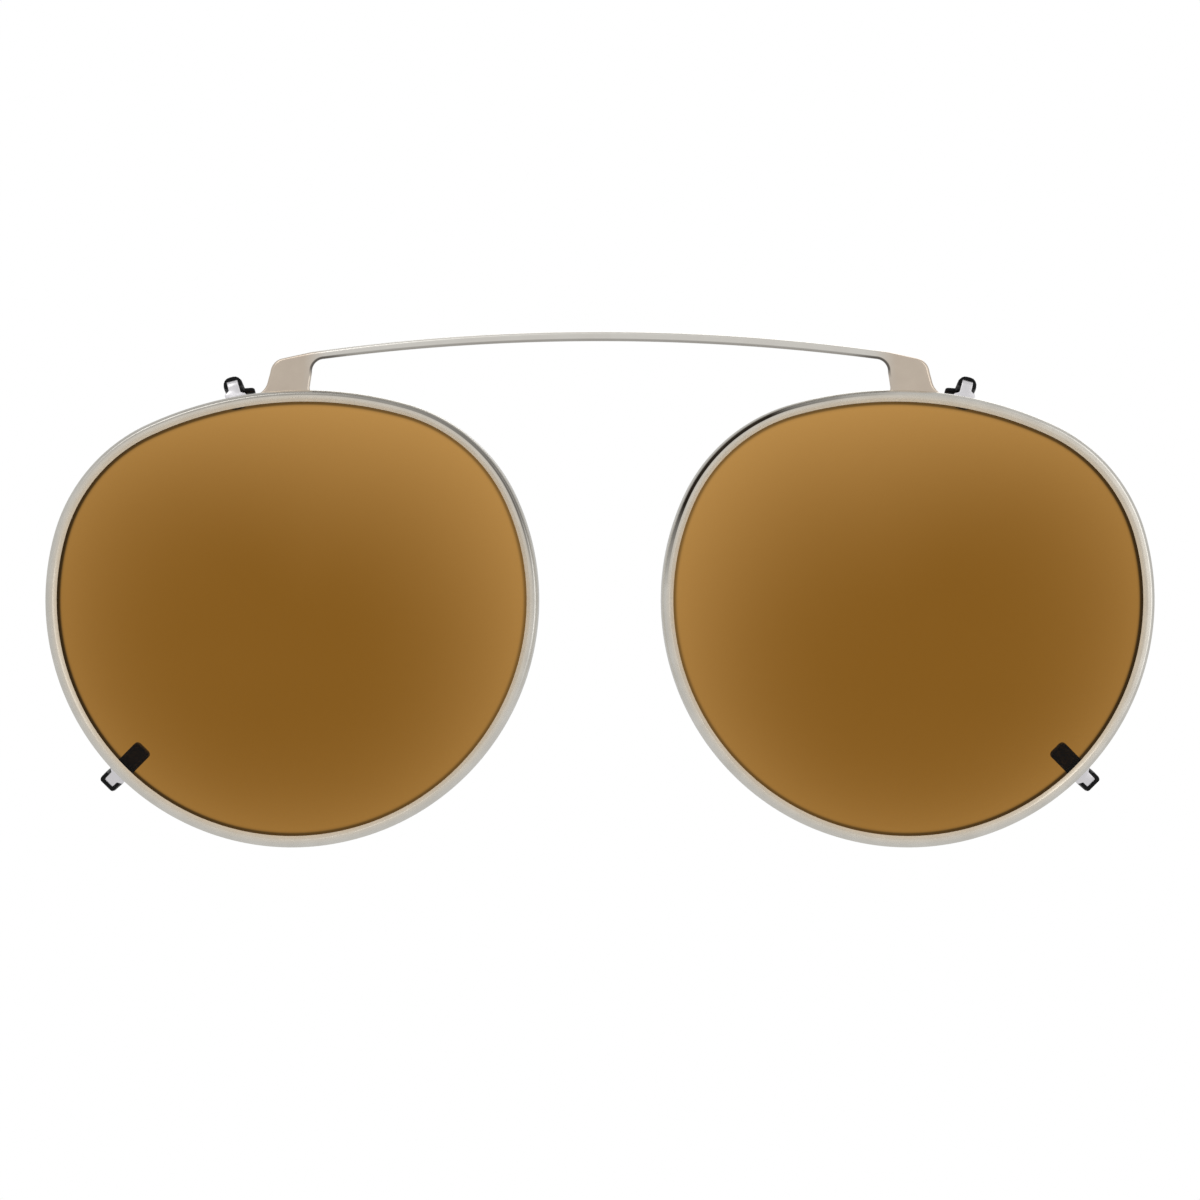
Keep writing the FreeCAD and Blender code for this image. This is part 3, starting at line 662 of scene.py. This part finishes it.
def make_claw(side, place):
    """The bent strip, widened into a foot where it is brazed behind the rim."""
    path = hook_path(place, None, LIPS[place])

    def half_width(number, narrows):
        spread = clamp((narrows + FOOT_TAPER - path[number][1]) / FOOT_TAPER)
        spread = spread * spread * (3 - 2 * spread) if number < LEG_STEPS else 0.0
        return (STRIP_WIDTH + (FOOT_WIDTH - STRIP_WIDTH) * spread) / 2

    def section_at(number):
        far = half_width(number, FAR_NARROWS)
        near = half_width(number, NEAR_NARROWS)
        section = box_section(far + near, STRIP_THICK, STRIP_ROUND, STRIP_ROUND, 3)
        return [(across + (near - far) / 2, rise) for across, rise in section]

    points = sweep(path, section_at)
    size = len(section_at(0))
    faces = rings_to_faces(len(path), size, False) + end_caps(size, len(points))
    name = "%s_%s_claw_strip" % (side, place)
    return make_object(name, points, faces, mirror(side) @ hook_frame(place))


def closed_tip(path, thick):
    """Extra path places and section scales that round off a sleeve's end."""
    depth, outward, direction = path[-1]
    tip = []
    for k in range(1, TIP_STEPS + 1):
        turn = SQUARE * k / TIP_STEPS
        reach = thick * TIP_SHARE * math.sin(turn)
        tip.append(((depth, outward - reach, direction), 1 - TIP_NARROWS * (1 - math.cos(turn))))
    return tip


def make_sleeve(side, place):
    """A soft sleeve: a hollow tube over the strip with a rounded tip; top ones also have a toe."""
    start = HOOK_GAP + STRIP_THICK + SLEEVE_START
    thick = STRIP_THICK + 2 * SLEEVE_OUTER
    path = hook_path(place, start, LIPS[place] + SLEEVE_TIP - thick * TIP_SHARE)
    tip = closed_tip(path, thick)
    outer_path = path + [spot for spot, _ in tip]
    scales = [MOUTH_SCALE] + [1.0] * (len(path) - 1) + [scale for _, scale in tip]
    outer = box_section(SLEEVE_WIDTH, thick, SLEEVE_ROUND, BACK_ROUNDS[place])
    inner = box_section(STRIP_WIDTH + 2 * FIT_GAP, STRIP_THICK + 2 * FIT_GAP, BORE_ROUND, BORE_ROUND)
    inner_path = list(reversed(hook_path(place, start, LIPS[place] + FIT_GAP)))
    points = sweep(inner_path, lambda number: inner)
    points += sweep(outer_path, lambda number: [(x * scales[number], y * scales[number])
                                                for x, y in outer])
    size = len(outer)
    rings = len(inner_path) + len(outer_path)
    faces = rings_to_faces(rings, size, False) + end_caps(size, len(points))
    if place == "top":
        toe_points, toe_faces = toe(len(points))
        points += toe_points
        faces += toe_faces
    name = "%s_%s_sleeve_tube" % (side, place)
    return make_object(name, points, faces, mirror(side) @ hook_frame(place), math.radians(50))


def toe(first):
    """A rounded toe that stands out from the lip towards the bar; its points are numbered from first."""
    rear = HOOK_GAP + STRIP_THICK / 2 + HOOK_REACH
    section = box_section(STRIP_THICK + 2 * SLEEVE_OUTER, TOE_TALL, TOE_CORNER, TOE_CORNER, 5)
    straight = TOE_REACH - TOE_ROUND
    places = [*TOE_RINGS, (straight, 1.0)]
    for k in range(1, TIP_STEPS + 1):
        turn = SQUARE * k / TIP_STEPS
        places.append((straight + TOE_ROUND * math.sin(turn), 1 - 0.5 * (1 - math.cos(turn))))
    points = []
    for reach, scale in places:
        level = TOE_ROOT + (TOE_TIP - TOE_ROOT) * reach / TOE_REACH
        points += [(reach, rear + y * scale, level + z * scale) for y, z in section]
    size = len(section)
    faces = [tuple(first + k for k in face) for face in rings_to_faces(len(places), size, False)]
    return points, faces + end_caps(size, len(points), first)


# ---------------------------------------------------------------- materials

WHITE = (1.0, 1.0, 1.0)


class Nodes:
    """A node tree, with short calls to add and join its nodes."""

    def __init__(self, tree):
        self.tree = tree

    def add(self, kind, **inputs):
        node = self.tree.nodes.new(kind)
        for label, value in inputs.items():
            node.inputs[label.replace("_", " ")].default_value = value
        return node

    def join(self, source, target):
        self.tree.links.new(source, target)

    def ramp(self, source, stops):
        """A colour ramp; stops are (position, colour)."""
        ramp = self.add("ShaderNodeValToRGB")
        while len(ramp.color_ramp.elements) < len(stops):
            ramp.color_ramp.elements.new(0.5)
        for element, (position, colour) in zip(ramp.color_ramp.elements, stops):
            element.position = position
            element.color = (*colour, 1.0)
        self.join(source, ramp.inputs["Fac"])
        return ramp.outputs["Color"]

    def span(self, source, low, high):
        """Map 0..1 to low..high."""
        node = self.add("ShaderNodeMapRange", To_Min=low, To_Max=high)
        self.join(source, node.inputs["Value"])
        return node.outputs["Result"]

    def mix(self, factor, first, second):
        """A colour between first and second, which are colours or sockets."""
        node = self.add("ShaderNodeMix")
        node.data_type = "RGBA"
        colours = [socket for socket in node.inputs if socket.type == "RGBA"]
        self.join(factor, node.inputs["Factor"])
        for socket, value in zip(colours, (first, second)):
            if isinstance(value, tuple):
                socket.default_value = (*value, 1.0)
            else:
                self.join(value, socket)
        return [socket for socket in node.outputs if socket.type == "RGBA"][0]


class Surface(Nodes):
    """A material whose shader inputs are set or driven by name."""

    def __init__(self, name):
        self.material = bpy.data.materials.new(name)
        self.material.use_nodes = True
        super().__init__(self.material.node_tree)
        self.shader = self.tree.nodes["Principled BSDF"]

    def noise(self, scale, detail=4.0, roughness=0.55, stretch=(1, 1, 1)):
        """Noise in object coordinates, so that grain keeps its real size on every piece."""
        mapping = self.add("ShaderNodeMapping", Scale=stretch)
        self.join(self.add("ShaderNodeTexCoord").outputs["Object"], mapping.inputs["Vector"])
        noise = self.add("ShaderNodeTexNoise", Scale=scale, Detail=detail, Roughness=roughness)
        self.join(mapping.outputs["Vector"], noise.inputs["Vector"])
        return noise.outputs["Fac"]

    def attribute(self, name):
        node = self.add("ShaderNodeAttribute")
        node.attribute_name = name
        return node.outputs["Fac"]

    def bump(self, source, strength, distance):
        node = self.add("ShaderNodeBump", Strength=strength, Distance=distance)
        self.join(source, node.inputs["Height"])
        self.join(node.outputs["Normal"], self.shader.inputs["Normal"])

    def set(self, label, value):
        self.shader.inputs[label].default_value = value

    def drive(self, label, source):
        self.join(source, self.shader.inputs[label])


def metal(name, pale, deep, roughness, tinges=()):
    """Polished white metal: a faint cloud in its colour, uneven polish and hairline polishing marks.

    tinges are (attribute, pale, deep, metallic): what the metal turns to where each attribute is 1.
    """
    made = Surface(name)
    cloud = made.noise(420.0, detail=5.0)
    colour = made.ramp(cloud, [(0.3, deep), (0.7, pale)])
    made.set("Metallic", 1.0)
    for attribute, tinged_pale, tinged_deep, metallic in tinges:
        where = made.attribute(attribute)
        colour = made.mix(where, colour, made.ramp(cloud, [(0.3, tinged_deep), (0.7, tinged_pale)]))
        if metallic < 1.0:
            made.drive("Metallic", made.span(where, 1.0, metallic))
    made.drive("Base Color", colour)
    smear = made.noise(900.0, detail=6.0, roughness=0.6, stretch=(1.0, 3.0, 0.35))
    made.drive("Roughness", made.span(smear, *roughness))
    marks = made.noise(5200.0, detail=3.0, roughness=0.5, stretch=(0.25, 1.0, 2.2))
    made.bump(marks, strength=0.07, distance=0.00002)
    return made.material


LENS_DARK = (0.225, 0.095, 0.0065)
LENS_PALE = (0.485, 0.257, 0.068)
LENS_EDGE_SHADOW = (0.03, 0.014, 0.001)
SLEEVE_DEEP = (0.002, 0.002, 0.0025)
SLEEVE_PALE = (0.006, 0.006, 0.007)


def lens_material():
    """Amber-brown tint that pales towards the edge, with a painted shadow line along the edge."""
    made = Surface("amber_lens")
    cloud = made.noise(60.0, detail=2.0)
    colour = made.ramp(made.attribute("tint_fade"), [(0.0, LENS_DARK), (1.0, LENS_PALE)])
    uneven = made.mix(made.span(cloud, 0.0, 0.05), colour, LENS_PALE)
    made.drive("Base Color", made.mix(made.attribute("edge_shadow"), uneven, LENS_EDGE_SHADOW))
    made.set("Transmission Weight", 1.0)
    made.set("IOR", 1.25)
    made.set("Specular IOR Level", 0.3)
    made.drive("Roughness", made.span(made.noise(240.0), 0.0, 0.03))
    made.bump(made.noise(35.0, detail=1.0), strength=0.01, distance=0.0001)
    return made.material


def sleeve_material():
    """Black soft plastic, matt with a slightly wrinkled skin."""
    made = Surface("black_sleeve")
    made.drive("Base Color", made.ramp(made.noise(700.0), [(0.3, SLEEVE_DEEP), (0.75, SLEEVE_PALE)]))
    made.drive("Roughness", made.span(made.noise(1600.0, detail=5.0), 0.36, 0.6))
    made.set("Specular IOR Level", 0.2)
    made.bump(made.noise(2600.0), strength=0.35, distance=0.00003)
    return made.material


# ---------------------------------------------------------------- assembly

def finish_piece(piece, material, body, nodes):
    """Give a piece its material and slot, in place of its CAD nodes; the blended bar has no body."""
    piece.data.materials.append(material)
    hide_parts(*nodes)
    if body:
        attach(piece, body)


def build():
    rim_finish = metal("polished_rim_metal", (0.89, 0.86, 0.795), (0.80, 0.77, 0.705), (0.2, 0.34), [
        # painted warm reflection of the lens on the rim's inner bevel
        ("painted_bevel_reflection", (0.96, 0.81, 0.61), (0.92, 0.77, 0.57), 0.1),
        # painted dark reflection on the rim's upper nose side
        ("painted_dark_reflection", (0.03, 0.022, 0.015), (0.02, 0.015, 0.01), 1.0),
    ])
    bar_finish = metal("polished_bar_metal", (1.0, 0.97, 0.90), (0.96, 0.92, 0.85), (0.24, 0.38), [
        # painted warm reflection on the risers
        ("riser_warm_reflection", (0.86, 0.74, 0.61), (0.80, 0.68, 0.56), 1.0),
        # painted shade under the bar and in the throats
        ("throat_shade", (0.21, 0.19, 0.17), (0.18, 0.165, 0.15), 1.0),
    ])
    strip_finish = metal("bright_strip_metal", (1.0, 0.98, 1.0), (0.94, 0.92, 0.95), (0.3, 0.45))
    lens_finish = lens_material()
    sleeve_finish = sleeve_material()
    for side in ("left", "right"):
        half = side + "_half"
        finish_piece(make_rim(side), rim_finish, half, [side + "_rim"])
        finish_piece(make_lens(side), lens_finish, half, [side + "_lens"])
        for place in ("top", "bottom"):
            hook = "%s_%s" % (side, place)
            body = hook + "_hook"
            finish_piece(make_claw(side, place), strip_finish, body, [hook + "_claw"])
            finish_piece(make_sleeve(side, place), sleeve_finish, body, [hook + "_sleeve"])
    bar = make_bridge()
    finish_piece(bar, bar_finish, None, ["bridge"])
    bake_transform(bar)


# ---------------------------------------------------------------- stage, light and camera

# metres from here on
FLOOR_LEVEL = -0.2
FLOOR_RADIUS = 1.6
FLOOR_DEEP = (0.86, 0.86, 0.855)
FLOOR_PALE = (0.89, 0.89, 0.885)

# grey of the surroundings by height, from straight below (0) to straight above (1)
WORLD_GREYS = ((0.0, 0.62), (0.38, 0.60), (0.5, 0.57), (0.66, 0.56), (1.0, 0.55))

# soft lamps aimed at the clip: name, place, size and power
LAMPS = (
    ("key_light", (-0.5, -0.7, 0.8), (0.6, 0.6), 1.6),
    ("fill_light", (0.7, -0.6, 0.2), (0.5, 0.8), 1.0),
    ("back_light", (0.2, 0.8, 0.6), (0.6, 0.6), 1.5),
)

FRAME_WIDTH = 0.126
VIEW_DISTANCE = 1.2
VIEW_UP = 0.001


def make_floor():
    """A wide pale disc well below the clip."""
    mesh = bpy.data.meshes.new("floor")
    work = bmesh.new()
    bmesh.ops.create_circle(work, cap_ends=True, segments=96, radius=FLOOR_RADIUS)
    work.to_mesh(mesh)
    work.free()
    floor = bpy.data.objects.new("floor", mesh)
    floor.location = (0, 0, FLOOR_LEVEL)
    made = Surface("pale_floor")
    made.drive("Base Color", made.ramp(made.noise(3.0), [(0.3, FLOOR_DEEP), (0.7, FLOOR_PALE)]))
    made.set("Roughness", 0.7)
    mesh.materials.append(made.material)
    floor.visible_glossy = False
    bpy.context.scene.collection.objects.link(floor)


def make_world():
    """Studio surroundings in soft greys, and plain white where seen directly or through a lens."""
    world = bpy.data.worlds.new("studio")
    bpy.context.scene.world = world
    world.use_nodes = True
    made = Nodes(world.node_tree)
    made.tree.nodes.clear()
    output = made.add("ShaderNodeOutputWorld")
    seen = made.add("ShaderNodeBackground", Color=(*WHITE, 1.0))
    around = made.add("ShaderNodeBackground")
    split = made.add("ShaderNodeSeparateXYZ")
    made.join(made.add("ShaderNodeTexCoord").outputs["Generated"], split.inputs["Vector"])
    height = made.add("ShaderNodeMapRange", From_Min=-1.0)
    made.join(split.outputs["Z"], height.inputs["Value"])
    greys = made.ramp(height.outputs["Result"], [(at, (grey, grey, grey)) for at, grey in WORLD_GREYS])
    made.join(greys, around.inputs["Color"])
    rays = made.add("ShaderNodeLightPath")
    either = made.add("ShaderNodeMath")
    either.operation = "MAXIMUM"
    made.join(rays.outputs["Is Camera Ray"], either.inputs[0])
    made.join(rays.outputs["Is Transmission Ray"], either.inputs[1])
    blend = made.add("ShaderNodeMixShader")
    made.join(either.outputs["Value"], blend.inputs["Fac"])
    made.join(around.outputs["Background"], blend.inputs[1])
    made.join(seen.outputs["Background"], blend.inputs[2])
    made.join(blend.outputs["Shader"], output.inputs["Surface"])


def add_lamp(name, place, size, power):
    """A soft rectangular lamp aimed at the clip, which the lenses don't show."""
    data = bpy.data.lights.new(name, "AREA")
    data.shape = "RECTANGLE"
    data.size, data.size_y = size
    data.energy = power
    lamp = bpy.data.objects.new(name, data)
    lamp.location = place
    lamp.rotation_euler = (-Vector(place)).to_track_quat("-Z", "Y").to_euler()
    lamp.visible_camera = False
    lamp.visible_transmission = False
    bpy.context.scene.collection.objects.link(lamp)


def make_camera():
    """Straight on, from far enough that the view is nearly flat."""
    data = bpy.data.cameras.new("camera")
    data.lens = data.sensor_width * VIEW_DISTANCE / FRAME_WIDTH
    data.dof.use_dof = False
    camera = bpy.data.objects.new("camera", data)
    camera.location = (0, -VIEW_DISTANCE, VIEW_UP)
    camera.rotation_euler = (SQUARE, 0, 0)
    bpy.context.scene.collection.objects.link(camera)
    bpy.context.scene.camera = camera


def make_studio():
    make_floor()
    make_world()
    for lamp in LAMPS:
        add_lamp(*lamp)
    bpy.context.scene.view_settings.view_transform = "Standard"
    make_camera()


build()
make_studio()
